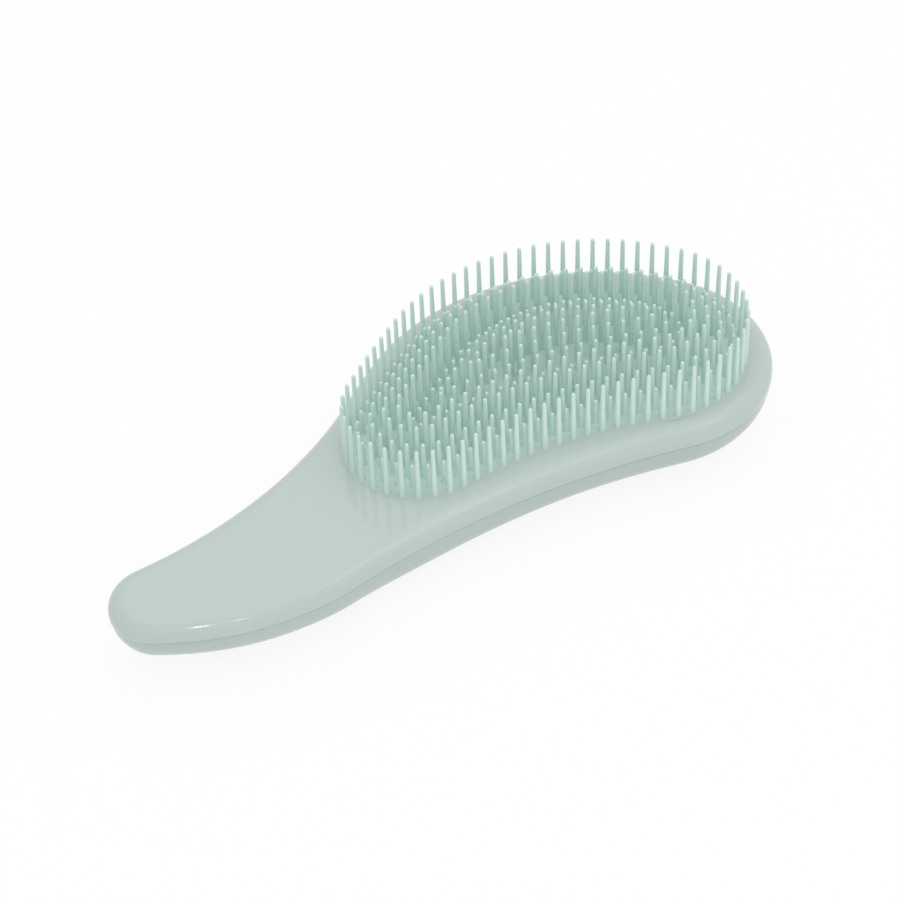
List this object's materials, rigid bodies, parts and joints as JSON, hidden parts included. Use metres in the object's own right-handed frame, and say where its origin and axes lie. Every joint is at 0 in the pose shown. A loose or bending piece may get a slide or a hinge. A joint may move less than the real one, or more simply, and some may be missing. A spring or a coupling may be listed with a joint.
{
  "type": "detangling hair brush",
  "caption": "Handled detangling hair brush with a kidney-shaped head, a flat top face with a rolled edge, and rings of thin straight pins in stepped heights.",
  "frame": {"origin": "on the surface that the brush rests on, under the middle of the casing's outline", "axes": "+Z along the pins, away from the back; +X along the brush from the handle's butt to the end of the head; +Y towards the head's full side"},
  "size_m": [0.1872, 0.084, 0.0334],
  "materials": {
    "front_casing": "pale mint grey, glossy",
    "back_casing": "pale mint grey, glossy",
    "pins": "pale mint, smooth"
  },
  "bodies": {
    "root": {"front_shell": "front_casing", "back_shell": "back_casing", "pin_pad": "pins"}
  },
  "joints": []
}
